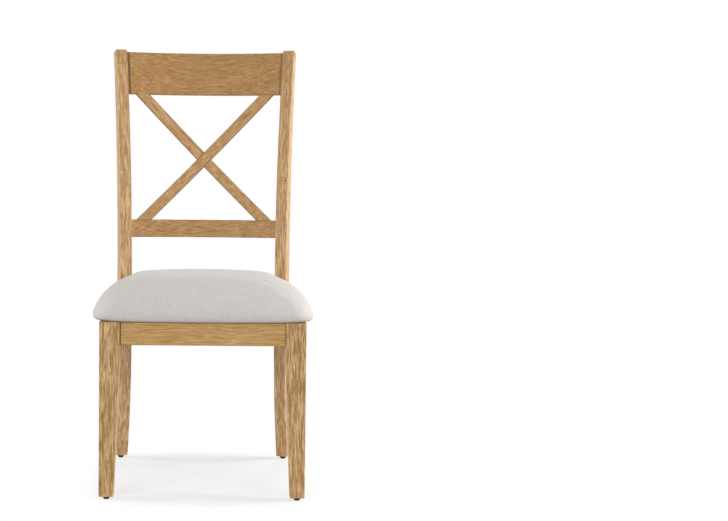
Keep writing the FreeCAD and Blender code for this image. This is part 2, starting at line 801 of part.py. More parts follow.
def post_notch(name, gap):
    """The corners that the seat leaves free for the two posts, with a gap round each."""
    corner = place(f"-Sheet.post_thickness - ({gap})", f"-({gap})", "0")
    return both_sides(name, box(f"{name}_right", f"{BEYOND}", f"{BEYOND}", "Sheet.post_top",
                                f"{POST_PLACE} * {corner}"))


def notched(name, item, gap):
    return cut(name, item, post_notch(f"{name}_corners", gap))


def build_seat_frame_fixings():
    """Dowels, corner blocks, screws, glides and nails of the right side, and every hole for them."""
    leg_inside = "Sheet.leg_half_span - Sheet.leg_width"
    apron_middle = "Sheet.front_face + Sheet.apron_setback + Sheet.rail_thickness / 2"
    seats = {
        "apron_dowels": lambda up: place(leg_inside, apron_middle, up, ("y", "-90")),
        "side_rail_front_dowels": lambda up: place(
            "Layout.rail_front - Sheet.rail_thickness / 2", "Layout.leg_back", up, ("x", "-90")),
        "side_rail_rear_dowels": lambda up: f"{POST_PLACE} * " + place(
            "-Sheet.side_dowel_inset", "0", up, ("x", "90")),
        "rear_rail_dowels": lambda up: f"{POST_PLACE} * " + place(
            "-Sheet.post_thickness", "Sheet.rear_dowel_run", up, ("y", "-90")),
    }
    holes = []
    for name, seat in seats.items():
        pegs, peg_holes = dowel_pair(name, seat)
        holes += peg_holes
        finish(both_sides(f"{name}_all", compound(f"{name}_pair", pegs)), name)

    apron_back = "Sheet.front_face + Sheet.apron_setback + Sheet.rail_thickness"
    blocks = {
        "front": (f"{leg_inside} - Sheet.block_gap", apron_back,
                  "Layout.leg_back + Sheet.block_gap", "+"),
        "rear": ("Layout.inner_corner_across - Sheet.rear_block_gap", "Layout.rear_rail_face",
                 "Layout.inner_corner_back - Sheet.rear_block_gap", "-"),
    }
    block_screws = []
    seat_screws = []
    solids = {}
    for corner, where in blocks.items():
        block, screws, seat_screw, block_holes = corner_block(f"{corner}_block", *where)
        solids[corner] = block
        block_screws += screws
        seat_screws.append(seat_screw)
        holes += block_holes
    finish(both_sides("all_block_screws", compound("right_block_screws", block_screws)),
           "corner_block_screws")
    finish(both_sides("all_seat_screws", compound("right_seat_screws", seat_screws)), "seat_screws")

    nails = []
    glides = {}
    foot_middle = "Sheet.leg_foot_width / 2"
    feet = {
        "front": place(f"Sheet.leg_half_span - {foot_middle}", f"Sheet.front_face + {foot_middle}", "0"),
        "back": f"{POST_PLACE} * " + place("-Sheet.post_thickness / 2",
                                           "Sheet.post_foot_rake + Sheet.post_foot_depth / 2", "0"),
    }
    for end, where in feet.items():
        foot, nail, nail_holes = glide_set(f"{end}_glide", where)
        glides[end] = foot
        nails.append(nail)
        holes += nail_holes
    finish(both_sides("all_nails", compound("right_nails", nails)), "glide_nails")

    bores = both_sides("bores", fuse("right_bores", holes))
    for corner, block in solids.items():
        both_ends(f"corner_block_{corner}", cut(f"{corner}_block_bored", block, bores))
    for end, foot in glides.items():
        both_ends(f"foot_glide_{end}", cut(f"{end}_glide_bored", foot, bores))
    return bores


def both_ends(label, right):
    """Finishes a right hand piece and its mirror image on the left."""
    finish(right, f"{label}_right")
    finish(mirrored(f"{label}_mirrored", right), f"{label}_left")


def build_seat_rails(bores):
    """Front apron, side rails and rear rail, dowelled into the legs and posts."""
    apron_front = "Sheet.front_face + Sheet.apron_setback"
    apron_back = f"{apron_front} + Sheet.rail_thickness"
    leg_inside = "Sheet.leg_half_span - Sheet.leg_width"
    rear_back = "Layout.rear_rail_face + Sheet.rail_thickness"
    slope = "tan(Sheet.toe_in)"
    rear_near = f"Layout.inner_corner_across + (Layout.rear_rail_face - Layout.inner_corner_back) * {slope}"
    rear_far = f"Layout.inner_corner_across + ({rear_back} - Layout.inner_corner_back) * {slope}"
    plans = {
        "front_apron": [
            (f"-({leg_inside})", apron_front),
            (leg_inside, apron_front),
            (leg_inside, apron_back),
            (f"-({leg_inside})", apron_back),
        ],
        "rear_seat_rail": [
            (f"-({rear_near})", "Layout.rear_rail_face"),
            (rear_near, "Layout.rear_rail_face"),
            (rear_far, rear_back),
            (f"-({rear_far})", rear_back),
        ],
        "side_rail": [
            (rail_inside("Layout.leg_back"), "Layout.leg_back"),
            ("Layout.rail_front", "Layout.leg_back"),
            ("Sheet.post_half_span - Sheet.side_rail_post_setback * cos(Sheet.toe_in)",
             "Layout.post_line + Sheet.side_rail_post_setback * sin(Sheet.toe_in)"),
            ("Sheet.post_half_span - Layout.side_rail_cut * cos(Sheet.toe_in)",
             "Layout.post_line + Layout.side_rail_cut * sin(Sheet.toe_in)"),
        ],
    }
    for name, corners in plans.items():
        body = plan_prism(f"{name}_blank", corners, "Layout.rail_bottom", "Sheet.rail_height")
        round_edges(body, f"{name}_arrises", "Sheet.rail_rounding", is_long_bottom_edge)
        rail = cut(f"{name}_bored", body, bores)
        if name == "side_rail":
            both_ends(name, rail)
        else:
            finish(rail, name)


def build_legs(bores):
    both_ends("front_leg", cut("leg_bored", front_leg_blank(), bores))


def brace_ends(name, side, grow, depth):
    """Narrow core of a brace that runs a given depth into both rails, grown by a clearance."""
    core = bent_brace(
        name, side, f"Sheet.brace_tenon_width + 2 * {grow}",
        f"(Sheet.brace_tenon_thickness + 2 * {grow})",
        f"(Sheet.brace_thickness - Sheet.brace_tenon_thickness) / 2 - {grow}")
    return cut(f"{name}_cut", core, beyond_rails(f"{name}_limit", depth))


def build_braces():
    """Two bent braces halved together where they cross, tenoned into the rails at both ends."""
    room = beyond_rails("brace_room", "0")
    deep = "(Sheet.brace_tenon_length + Sheet.end_clearance)"
    mortises = []
    # Each brace's sign of lean, the other's, and where the half that it loses starts.
    lost_halves = {
        "rising": ("", "-", "Sheet.brace_thickness / 2"),
        "falling": ("-", "", "-Sheet.brace_thickness / 2"),
    }
    for name, (side, other, start) in lost_halves.items():
        blank = bent_brace(f"{name}_blank", side, "Sheet.brace_width", "Sheet.brace_thickness", "0",
                           "Sheet.brace_bevel")
        notch_place = place("-Sheet.brace_width / 2 - Sheet.joint_clearance",
                            f"Layout.brace_radius + {start}", "-Sheet.brace_width * 1.5")
        notch = box(f"{name}_lap", "Sheet.brace_width + 2 * Sheet.joint_clearance",
                    "Sheet.brace_thickness", "Sheet.brace_width * 3",
                    f"{brace_place(other)} * {notch_place}")
        lapped = cut(f"{name}_lapped", cut(f"{name}_trimmed", blank, room), notch)
        tenons = brace_ends(f"{name}_core", side, "0", "Sheet.brace_tenon_length")
        tenons_lapped = cut(f"{name}_core_lapped", tenons, notch)
        finish(fuse(f"{name}_whole", [lapped, tenons_lapped]), f"cross_brace_{name}")
        mortises.append(brace_ends(f"{name}_mortise", side, "Sheet.joint_clearance", deep))
    return fuse("brace_mortises", mortises)


def build_back(bores, brace_mortises):
    """Posts, with the bowed crest and lower rail tenoned between them."""
    shoulder_faces = post_space("between_posts", "0")
    tenon_limit = post_space("tenon_ends", "Sheet.rail_tenon_length")
    mortise_limit = post_space("mortise_ends", "(Sheet.rail_tenon_length + Sheet.end_clearance)")
    mortises = []
    for rail, label in (("crest", "crest_rail"), ("lower", "lower_back_rail")):
        thickness = f"Sheet.{rail}_thickness"
        tenon_front = f"({thickness} - Sheet.rail_tenon_thickness) / 2"
        fit = "Sheet.joint_clearance"
        blank = bowed_bar(f"{rail}_blank", rail, "0", thickness, "0", "Sheet.back_rail_rounding")
        tenon = bowed_bar(f"{rail}_tenon", rail, f"Sheet.{rail}_shoulder",
                          "Sheet.rail_tenon_thickness", tenon_front)
        mortise = bowed_bar(f"{rail}_mortise", rail, f"Sheet.{rail}_shoulder - {fit}",
                            f"(Sheet.rail_tenon_thickness + 2 * {fit})", f"{tenon_front} - {fit}")
        whole = fuse(f"{rail}_whole", [cut(f"{rail}_trimmed", blank, shoulder_faces),
                                       cut(f"{rail}_tenoned", tenon, tenon_limit)])
        finish(cut(f"{rail}_mortised", whole, brace_mortises), label)
        mortises.append(cut(f"{rail}_mortise_cut", mortise, mortise_limit))
    bored = cut("post_bored", back_post_blank(), bores)
    both_ends("back_post", cut("post_mortised", bored, compound("post_mortises", mortises)))


def build_seat(bores):
    """Plywood board, foam over it, fabric cover folded under, and a dust cover in the opening."""
    fold = "Sheet.pad_tuck + Sheet.cover_return"
    fold_gap = "Sheet.notch_gap + Sheet.cover_return"
    outer = notched("cover_outside", pad_loft("cover_form", "0"), "Sheet.notch_gap")
    inner = notched("cover_inside", pad_loft("lining_form", "Sheet.cover_thickness"),
                    "Sheet.notch_gap + Sheet.cover_thickness")
    opening = notched("cover_opening", pad_slab("opening_sheet", fold, "Sheet.frame_top",
                                                "Sheet.cover_thickness"), fold_gap)
    folded = cut("cover_folded", cut("cover_shell", outer, inner), opening)
    finish(cut("cover_bored", folded, bores), "seat_cover")

    dust = notched("dust_sheet", pad_slab("dust_blank", f"{fold} + Sheet.foam_gap", "Sheet.frame_top",
                                          "Sheet.cover_thickness"), f"{fold_gap} + Sheet.foam_gap")
    finish(cut("dust_bored", dust, bores), "seat_dust_cover")

    board = notched("board_notched", pad_slab("board_blank", "Sheet.board_inset", "Layout.board_bottom",
                                              "Sheet.board_thickness"), "Sheet.notch_gap + Sheet.board_gap")
    finish(cut("board_bored", board, bores), "seat_board")

    skin = "Sheet.cover_thickness + Sheet.foam_gap"
    foam = notched("foam_notched", pad_loft("foam_form", skin), f"Sheet.notch_gap + {skin}")
    room = notched("board_room", pad_slab("board_room_blank", "Sheet.board_inset - Sheet.foam_gap",
                                          "Layout.board_bottom", "Sheet.board_thickness"),
                   "Sheet.notch_gap + Sheet.board_gap - Sheet.foam_gap")
    finish(cut("foam_hollowed", foam, room), "seat_foam")


def check_and_write():
    """Stops on any failed object or unsound shape, then writes one file for each sub-part."""
    doc.recompute()
    failed = [item.Name for item in doc.Objects if {"Invalid", "Error"} & set(item.State)]
    if failed:
        raise RuntimeError(f"objects that did not compute: {failed}")
    for item in nodes:
        if item.Shape.isNull() or not item.Shape.isValid() or not item.Shape.Solids:
            raise RuntimeError(f"{item.Label} has no sound shape")
    os.makedirs("parts", exist_ok=True)
    for item in nodes:
        item.Shape.exportStep(f"parts/{item.Label}.step")
        print(item.Label, len(item.Shape.Solids), round(item.Shape.Volume))


fill_sheet()
derive_layout()
bores = build_seat_frame_fixings()
build_seat_rails(bores)
build_legs(bores)
build_back(bores, build_braces())
build_seat(bores)
check_and_write()
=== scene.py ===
import math

import bmesh
import bpy
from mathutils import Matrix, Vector


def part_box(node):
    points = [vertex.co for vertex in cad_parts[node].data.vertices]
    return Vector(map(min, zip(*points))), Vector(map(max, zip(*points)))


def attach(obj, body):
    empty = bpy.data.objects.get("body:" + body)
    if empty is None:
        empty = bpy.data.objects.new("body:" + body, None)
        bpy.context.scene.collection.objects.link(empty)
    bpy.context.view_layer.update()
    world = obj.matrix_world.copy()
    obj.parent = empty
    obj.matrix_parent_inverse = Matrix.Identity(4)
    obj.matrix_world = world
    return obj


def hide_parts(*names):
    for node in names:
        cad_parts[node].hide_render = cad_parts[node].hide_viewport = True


# Cross back dining chair in pale oak with an upholstered seat. Metres, seen along +Y, Z is up.

# The photograph's camera: its place, how far it looks down and leans in degrees, its lens in
# millimetres and how far its picture is shifted sideways.
CAMERA_PLACE = (0, -3.067, 0.6404)
CAMERA_PITCH = 2.69
CAMERA_ROLL = 0.45
CAMERA_LENS = 66.14
CAMERA_SHIFT = 0.2206

# Soft boxes round the chair: where each one stands and its power in watts.
LAMPS = {
    "key": ((-1.3, -2.8, 1.3), 25),
    "fill": ((1.5, -2.7, 1.1), 22),
    "right": ((2.4, 0, 1.0), 60),
    "left": ((-2.4, 0, 1.0), 30),
    "back": ((0.4, 2.8, 1.5), 26),
}
LAMP_SIZE = 1.6
LAMP_AIM = (0, 0, 0.5)
SKY_LIGHT = 0.46
WHITE = (1, 1, 1, 1)

# The floor shows on a patch with round corners, given by its middle's depth and its half sizes, and
# fades out between two multiples of them.
FLOOR_RADIUS = 6
FLOOR_GLOW = 0.2
FLOOR_MIDDLE = -0.02
FLOOR_PATCH = (0.21, 0.25)
FLOOR_CORNERS = 4
FLOOR_FADE = (0.8, 1.35)

# Seat pad: how finely its skin is divided, how hard and how long it is blown up, and how far it may
# move. It is held up to a height on its rim and within a margin round the board, and its underside
# lies a little above that of the cover's hem.
PAD_VOXEL = 0.005
PAD_PRESSURE = 4
PAD_FRAMES = 20
PAD_LIMIT = 0.0015
PAD_EDGE = 0.004
PAD_MARGIN = 0.002
PAD_LIFT = 0.0003
HEM_THICKNESS = 0.0009

# Dust sheet: the grid that it is bent on, how far its edges lie above the solid's lower face, and
# how far it hangs in the middle. It hangs between two sides, a front and a rear, rounded a little,
# with a faint ripple whose turns are in radians a metre.
SHEET_GRID = 0.012
SHEET_LIFT = 0.0004
SHEET_SAG = 0.003
SHEET_HALF_WIDTH = 0.165
SHEET_FRONT = -0.235
SHEET_REAR = 0.155
SHEET_ROUNDING = 0.8
SHEET_RIPPLE = 0.0003
SHEET_RIPPLE_TURNS = (70, 55)

# Points of a CAD mesh that lie closer than this are one.
WELD = 0.00001

# Turns that bring each run of wood upright, in degrees, because the grain pattern runs along Z.
UPRIGHT = (0, 0, 0)
ACROSS = (0, -90, 0)
BACKWARD = (90, 0, 0)
BRACE_LEAN = 43.9

# How many features of the oak lie in a metre across the grain, into the wood and along the grain.
SWAY = (9, 9, 1.6)
WAVER = (60, 60, 12)
STREAKS = (310, 310, 24)
FINE_STREAKS = (560, 560, 42)
BROAD_STREAKS = (50, 50, 4)
CONTOURS = (190, 190, 9)
PORES = (1300, 1300, 90)
FLECKS = (520, 240, 130)

# How far the years sway about the heart, how far the tree leans, and how much years and grain waver.
HEART_SWAY = 0.045
TREE_LEAN = 0.05
YEAR_WAVER = 1.8
GRAIN_WAVER = (0.012, 0.008)

# How far apart in the tree two glued staves were sawn, across, into and along the grain, how much
# their tones differ, and how the glue line between them fades.
STAVE_STEP = (0.013, 0.021, 0.37)
STAVE_TONE = 0.37
GLUE_FADE = (0.0002, 0.0012)

# The oak's tones beside its base tone, and its darkest spots, as a screen shows them. The last two
# are painted shade, in corners and joints and on eased edges.
LIGHTER = (30, 32, 33)
DARKER = (-36, -39, -38)
IN_PORES = (-66, -66, -58)
GLUE_LINE = (120, 84, 50)
KNOT = (112, 73, 40)
PAINTED_CORNER_SHADE = (84, 52, 22)
PAINTED_EDGE_SHADE = (96, 68, 38)

# The posts run straight between two heights, and bend more below them than above.
STRAIGHT_FROM = 0.36
STRAIGHT_TO = 0.4
FOOT_BEND = 1.35
POST_BEND = (0.052, 0.201)

POST_TONE = (194, 157, 111)
BRACE_TONE = (189, 147, 98)
SEAT_FRAME_TOP = 0.378


def shade(red, green, blue):
    """Colour for a shader from the three values that a screen shows for it, 0 to 255."""
    def linear(value):
        value /= 255
        return value / 12.92 if value <= 0.04045 else ((value + 0.055) / 1.055) ** 2.4
    return linear(red), linear(green), linear(blue), 1


def tone(base, change):
    """A screen tone beside another one, as a colour for a shader."""
    return shade(*[value + step for value, step in zip(base, change)])


class Wire:
    """A number, vector or colour on its way through a material, for use in Python sums."""

    def __init__(self, paint, socket):
        self.paint = paint
        self.socket = socket

    def sum(self, operation, *terms):
        return self.paint.node("ShaderNodeMath", {"operation": operation}, dict(enumerate(terms)))

    def __add__(self, other):
        return self.sum("ADD", self, other)

    def __radd__(self, other):
        return self.sum("ADD", other, self)

    def __sub__(self, other):
        return self.sum("SUBTRACT", self, other)

    def __rsub__(self, other):
        return self.sum("SUBTRACT", other, self)

    def __mul__(self, other):
        return self.sum("MULTIPLY", self, other)

    def __rmul__(self, other):
        return self.sum("MULTIPLY", other, self)

    def __truediv__(self, other):
        return self.sum("DIVIDE", self, other)

    def __pow__(self, other):
        return self.sum("POWER", self, other)

    def __abs__(self):
        return self.sum("ABSOLUTE", self)

    def __gt__(self, other):
        return self.sum("GREATER_THAN", self, other)

    def fraction(self):
        return self.sum("FRACT", self)

    def sine(self):
        return self.sum("SINE", self)

    def larger(self, other):
        return self.sum("MAXIMUM", self, other)

    def step(self, low, high):
        """Rises smoothly from 0 to 1 as the number goes from low to high."""
        settings = {"interpolation_type": "SMOOTHSTEP"}
        return self.paint.node("ShaderNodeMapRange", settings, {0: self, 1: low, 2: high})

    def scaled(self, *scale):
        """A vector with each of its parts multiplied."""
        return self.paint.node("ShaderNodeVectorMath", {"operation": "MULTIPLY"}, {0: self, 1: scale})

    def along(self, *line):
        """How far a place lies along a line from the origin."""
        settings = {"operation": "DOT_PRODUCT"}
        return self.paint.node("ShaderNodeVectorMath", settings, {0: self, 1: line}, "Value")

    def length(self):
        return self.paint.node("ShaderNodeVectorMath", {"operation": "LENGTH"}, {0: self}, "Value")

    def parts(self):
        node = self.paint.add("ShaderNodeSeparateXYZ", {}, {0: self})
        return [Wire(self.paint, output) for output in node.outputs]


def fill_ramp(ramp, stops):
    while len(ramp.elements) < len(stops):
        ramp.elements.new(0.5)
    for element, (place, colour) in zip(ramp.elements, stops):
        element.position = place
        element.color = colour


class Paint:
    """Puts together the nodes of a material or of the world."""

    def __init__(self, owner):
        self.owner = owner
        owner.use_nodes = True
        self.tree = owner.node_tree
        self.tree.nodes.clear()

    def add(self, kind, settings, inputs):
        """Adds a node: settings first, then each input's value or link."""
        node = self.tree.nodes.new(kind)
        for word, setting in settings.items():
            if word == "stops":
                fill_ramp(node.color_ramp, setting)
            else:
                setattr(node, word, setting)
        for word, wanted in inputs.items():
            if isinstance(wanted, Wire):
                self.tree.links.new(wanted.socket, node.inputs[word])
            else:
                node.inputs[word].default_value = wanted
        return node

    def node(self, kind, settings, inputs, output=0):
        """Adds a node and gives one of its outputs."""
        return Wire(self, self.add(kind, settings, inputs).outputs[output])

    def place(self, turn=UPRIGHT, shift=(0, 0, 0)):
        """Place on the object, turned about its origin and then shifted."""
        angles = [math.radians(angle) for angle in turn]
        here = self.node("ShaderNodeTexCoord", {}, {}, "Object")
        return self.node("ShaderNodeMapping", {}, {0: here, "Rotation": angles, "Location": shift})

    def normal(self):
        return self.node("ShaderNodeNewGeometry", {}, {}, "Normal")

    def ray(self, kind):
        """1 where the light path is of this kind."""
        return self.node("ShaderNodeLightPath", {}, {}, kind)

    def vector(self, *parts):
        return self.node("ShaderNodeCombineXYZ", {}, dict(enumerate(parts)))

    def noise(self, where, scale, detail, roughness):
        """Clouds from 0 to 1, with a scale for all directions or one for each axis."""
        if isinstance(scale, tuple):
            where = where.scaled(*scale)
            scale = 1
        values = {"Vector": where, "Scale": scale, "Detail": detail, "Roughness": roughness}
        return self.node("ShaderNodeTexNoise", {}, values)

    def ramp(self, number, *stops):
        return self.node("ShaderNodeValToRGB", {"stops": stops}, {0: number})

    def blend(self, share, first, second):
        """Goes from the first colour to the second."""
        return self.node("ShaderNodeMix", {"data_type": "RGBA"}, {0: share, 6: first, 7: second}, 2)

    def bump(self, height, distance, strength):
        values = {"Strength": strength, "Distance": distance, "Height": height}
        return self.node("ShaderNodeBump", {}, values)

    def mix_shaders(self, share, first, second):
        return self.node("ShaderNodeMixShader", {}, {0: share, 1: first, 2: second})

    def finish(self, inputs):
        """Ends the material in one plain surface shader."""
        surface = self.node("ShaderNodeBsdfPrincipled", {}, inputs)
        self.add("ShaderNodeOutputMaterial", {}, {"Surface": surface})
        return self.owner


def new_paint(name):
    return Paint(bpy.data.materials.new(name))


def follow_posts(across, deep, up, bend):
    """Swings the grain across and back, above and below the seat frame."""
    swing = (up - STRAIGHT_TO).larger(0) ** 2 + (STRAIGHT_FROM - up).larger(0) ** 2 * FOOT_BEND
    return across - swing * bend[0], deep - swing * bend[1]


def glued_staves(along, joints):
    """Which stave a place is in, and how near it is to a glue line."""
    stave = 0
    seam = 0
    for place in joints:
        stave = (along > place) + stave
        seam = (1 - abs(along - place).step(*GLUE_FADE)).larger(seam)
    return stave, seam


def from_knot(paint, across, along, knot, stretch):
    """Distance from a knot in its own sizes, stretched along the grain."""
    across_knot, along_knot, size = knot
    return paint.vector((across - across_knot) / size, 0, (along - along_knot) / size / stretch).length()


def oak(name, turn, shift, heart, ring=0.0042, base=(184, 147, 103), figure=0.4, streaks=1.0,
        joints=(), knots=(), shadows=(), bend=None):
    """Lacquered oak, its grain along the turned Z axis.

    The heart is where the middle of the tree lies, beside the piece, and the ring the width of
    a year. Figure is how strongly the years show, and streaks how lively the grain between them
    is. The joints are the places along the grain where one stave is glued to the next, and a
    knot has its place across and along the grain and its size. A shadow is painted shade in a
    corner or joint, on faces that look to the front: a plane as a direction and a distance, its
    width and its depth. Bend is how far the grain swings across and back, as the posts were sawn
    along it. Eased edges that face up or down get painted shade too.
    """
    paint = new_paint(name)
    body = paint.place()
    across, deep, along = paint.place(turn, shift).parts()
    if bend:
        across, deep = follow_posts(across, deep, body.parts()[2], bend)
    stave, seam = glued_staves(along, joints)
    side = across + stave * STAVE_STEP[0]
    depth = deep + stave * STAVE_STEP[1]
    height = along + stave * STAVE_STEP[2]
    tree = paint.vector(side, depth, height)
    sway = paint.noise(tree, SWAY, 3, 0.5) - 0.5
    waver = paint.noise(tree, WAVER, 3, 0.55) - 0.5
    grain = paint.vector(side + waver * GRAIN_WAVER[0], depth + waver * GRAIN_WAVER[1], height)

    from_heart = side - heart[0] + sway * HEART_SWAY
    from_middle = depth - heart[1] + height * TREE_LEAN
    radius = (from_heart * from_heart + from_middle * from_middle) ** 0.5
    year = radius / ring + waver * YEAR_WAVER
    for knot in knots:
        year = year + (1 - from_knot(paint, across, along, knot, 1.8).step(0.1, 3.2)) * 5
    # Each year starts with open pores and ends dense.
    season = year.fraction()
    porous = season.step(0, 0.2) * (1 - season.step(0.3, 0.95))

    streak = paint.noise(grain, STREAKS, 2, 0.5)
    fine = paint.noise(grain, FINE_STREAKS, 2, 0.6)
    broad = paint.noise(grain, BROAD_STREAKS, 2, 0.5)
    contour = paint.noise(grain, CONTOURS, 1, 0.5)
    line = 1 - abs(contour - 0.5).step(0.004, 0.045)
    pore = paint.noise(grain, PORES, 2, 0.6).step(0.56, 0.68) * (porous * 0.7 + 0.3)
    fleck = paint.noise(grain, FLECKS, 1, 0.4).step(0.64, 0.74)

    light = tone(base, LIGHTER)
    dark = tone(base, DARKER)
    lively = (streak * 0.5 + fine * 0.42 + broad * 0.08 - 0.5) * streaks * 0.9 + 0.5
    colour = paint.ramp(lively, (0.34, dark), (0.5, shade(*base)), (0.66, light))
    colour = paint.blend(porous * figure, colour, dark)
    colour = paint.blend(line * 0.3 * streaks, colour, dark)
    colour = paint.blend(pore * 0.4, colour, tone(base, IN_PORES))
    colour = paint.blend(fleck * 0.2, colour, light)
    if joints:
        tint = (stave * STAVE_TONE + 0.15).fraction()
        colour = paint.blend(tint * 0.2, colour, dark)
        colour = paint.blend(seam * 0.45, colour, shade(*GLUE_LINE))
    for knot in knots:
        inside = 1 - from_knot(paint, across, along, knot, 1.5).step(0.35, 1.1)
        colour = paint.blend(inside * 0.6, colour, shade(*KNOT))
    _, back, up = paint.normal().parts()
    front = (0 - back).step(0.1, 0.5)
    # Painted shade in corners and joints, only on faces that look to the front.
    for direction, distance, width, strength in shadows:
        off = abs(body.along(*direction) - distance)
        painted_shade = (1 - off.step(width * 0.3, width)) * front * strength
        colour = paint.blend(painted_shade, colour, shade(*PAINTED_CORNER_SHADE))
    # Painted shade on eased edges that face up or down.
    eased = abs(up).step(0.2, 0.5) * (1 - abs(up).step(0.9, 0.99))
    colour = paint.blend(eased * 0.5, colour, shade(*PAINTED_EDGE_SHADE))
    return paint.finish({
        "Base Color": colour,
        "Roughness": pore * 0.2 + streak * 0.12 + 0.44,
        "Specular IOR Level": 0.35,
        "Normal": paint.bump(streak * 0.3 - pore - porous * 0.25, 0.00012, 0.6),
    })


def plain_wood(name, turn, light, dark):
    """Wood that nobody is meant to see: corner blocks, dowels and the like."""
    ring = 0.003
    paint = new_paint(name)
    here = paint.place(turn)
    sway = paint.noise(here, (20, 20, 3), 2, 0.5) - 0.5
    across, deep, _ = here.parts()
    year = ((across * 0.8 + deep * 0.6) / ring + sway * 5).fraction()
    streak = paint.noise(here, (600, 600, 30), 3, 0.6)
    return paint.finish({
        "Base Color": paint.blend(year.step(0.2, 1) * 0.5 + streak * 0.4, light, dark),
        "Roughness": streak * 0.2 + 0.55,
        "Normal": paint.bump(streak, 0.0001, 0.5),
    })


def plywood():
    """Birch plywood: a rotary cut face and the plies along its edges."""
    ply = 0.0028
    paint = new_paint("plywood")
    here = paint.place()
    figure = (paint.noise(here, (3, 14, 3), 2, 0.5) * 14).fraction()
    streak = paint.noise(here, (30, 700, 30), 3, 0.6)
    grain = figure.step(0.1, 0.9) * 0.4 + streak * 0.4
    face = paint.blend(grain, shade(222, 196, 152), shade(196, 161, 112))
    up = here.parts()[2]
    edge = paint.blend((up / ply).fraction() > 0.5, shade(205, 172, 126), shade(160, 120, 78))
    flat = abs(paint.normal().parts()[2]).step(0.5, 0.8)
    return paint.finish({
        "Base Color": paint.blend(flat, edge, face),
        "Roughness": streak * 0.2 + 0.55,
        "Normal": paint.bump(streak, 0.0001, 0.4),
    })


def seat_fabric():
    """Plain woven cloth with slubs, its threads following the face that they lie on."""
    thread = 0.0009
    paint = new_paint("seat_fabric")
    here = paint.place()
    to_side, to_back, to_top = [abs(part) for part in paint.normal().parts()]
    wander = (paint.noise(here, 130, 2, 0.5) - 0.5) * 0.35
    lines = [((part / thread + wander) * math.pi).sine() for part in here.parts()]
    across, back, up = [line * line for line in lines]
    total = to_side + to_back + to_top
    weave = (across.larger(back) * to_top + across.larger(up) * to_back + back.larger(up) * to_side) / total
    warp = paint.noise(here, (90, 900, 900), 3, 0.6)
    weft = paint.noise(here, (900, 90, 500), 3, 0.6)
    slub = (warp + weft) * 0.5
    cloud = paint.noise(here, 45, 3, 0.6)
    colour = paint.blend(slub.step(0.38, 0.66), shade(198, 193, 188), shade(218, 214, 210))
    colour = paint.blend((1 - weave) * 0.3, colour, shade(168, 161, 154))
    colour = paint.blend(cloud.step(0.35, 0.7) * 0.14, colour, shade(188, 182, 175))
    return paint.finish({
        "Base Color": colour,
        "Roughness": 0.95,
        "Specular IOR Level": 0.15,
        "Sheen Weight": 0.15,
        "Sheen Roughness": 0.5,
        "Normal": paint.bump(weave * 0.7 + slub * 0.5, 0.0002, 0.5),
    })


def dust_cloth():
    """Black spun cloth with a fine embossed grid."""
    pitch = 0.002
    paint = new_paint("dust_cloth")
    here = paint.place()
    across, back, _ = here.parts()
    dots = ((across / pitch).fraction() - 0.5) ** 2 + ((back / pitch).fraction() - 0.5) ** 2
    dot = dots.step(0.03, 0.12)
    fibre = paint.noise(here, 1500, 3, 0.6)
    return paint.finish({
        "Base Color": paint.blend(fibre * dot, shade(22, 22, 24), shade(48, 48, 50)),
        "Roughness": 0.85,
        "Normal": paint.bump(dot + fibre * 0.4, 0.0002, 0.6),
    })


def glide_plastic():
    """Dark moulded plastic, scuffed underneath."""
    paint = new_paint("glide_plastic")
    here = paint.place()
    grain = paint.noise(here, 1800, 2, 0.5)
    scuff = paint.noise(here, (500, 90, 500), 3, 0.6)
    under = (0 - paint.normal().parts()[2]).step(0.6, 0.95)
    return paint.finish({
        "Base Color": paint.blend(scuff.step(0.5, 0.75) * under, shade(30, 15, 9), shade(70, 54, 44)),
        "Roughness": under * 0.2 + grain * 0.15 + 0.5,
        "Specular IOR Level": 0.25,
        "Normal": paint.bump(grain, 0.00005, 0.5),
    })


def zinc_steel():
    """Pale plated steel of the screws and nails."""
    paint = new_paint("zinc_steel")
    cloud = paint.noise(paint.place(), 400, 3, 0.6)
    return paint.finish({
        "Base Color": paint.blend(cloud, shade(176, 172, 160), shade(206, 204, 196)),
        "Metallic": 1.0,
        "Roughness": cloud * 0.25 + 0.25,
        "Normal": paint.bump(cloud, 0.00003, 0.4),
    })


def dress(material, *names):
    """Gives CAD nodes a finish through their own material slots."""
    for name in names:
        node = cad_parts[name]
        for slot in node.material_slots:
            slot.link = "OBJECT"
            slot.material = material


def pair(name):
    return f"{name}_left", f"{name}_right"


def dress_legs():
    left, right = pair("front_leg")
    # Painted shade along the top of each leg, under the seat pad.
    top = ((0, 0, 1), SEAT_FRAME_TOP, 0.0015, 0.3)
    dress(oak("oak_leg_left", UPRIGHT, (0.3, 0.1, 0.4), (0.09, 0.16), base=(190, 153, 104),
              figure=0.2, streaks=2.5, shadows=(top,)), left)
    dress(oak("oak_leg_right", UPRIGHT, (0.1, 0.5, 0.2), (-0.07, 0.66), base=(191, 153, 103),
              figure=0.2, streaks=2.7, shadows=(top,)), right)


def dress_posts():
    left, right = pair("back_post")
    outwards, backwards = POST_BEND
    dress(oak("oak_post_left", UPRIGHT, (0.6, 0.2, 0.1), (0.43, 0.16), base=POST_TONE, figure=0.3,
              streaks=2.2, joints=(0.805, 1.066), bend=(-outwards, backwards)), left)
    dress(oak("oak_post_right", UPRIGHT, (0.2, 0.7, 0.3), (0.5, 0.9), base=POST_TONE, figure=0.3,
              streaks=2.2, joints=(0.99,), knots=((0.393, 0.983, 0.003),),
              bend=(outwards, backwards)), right)


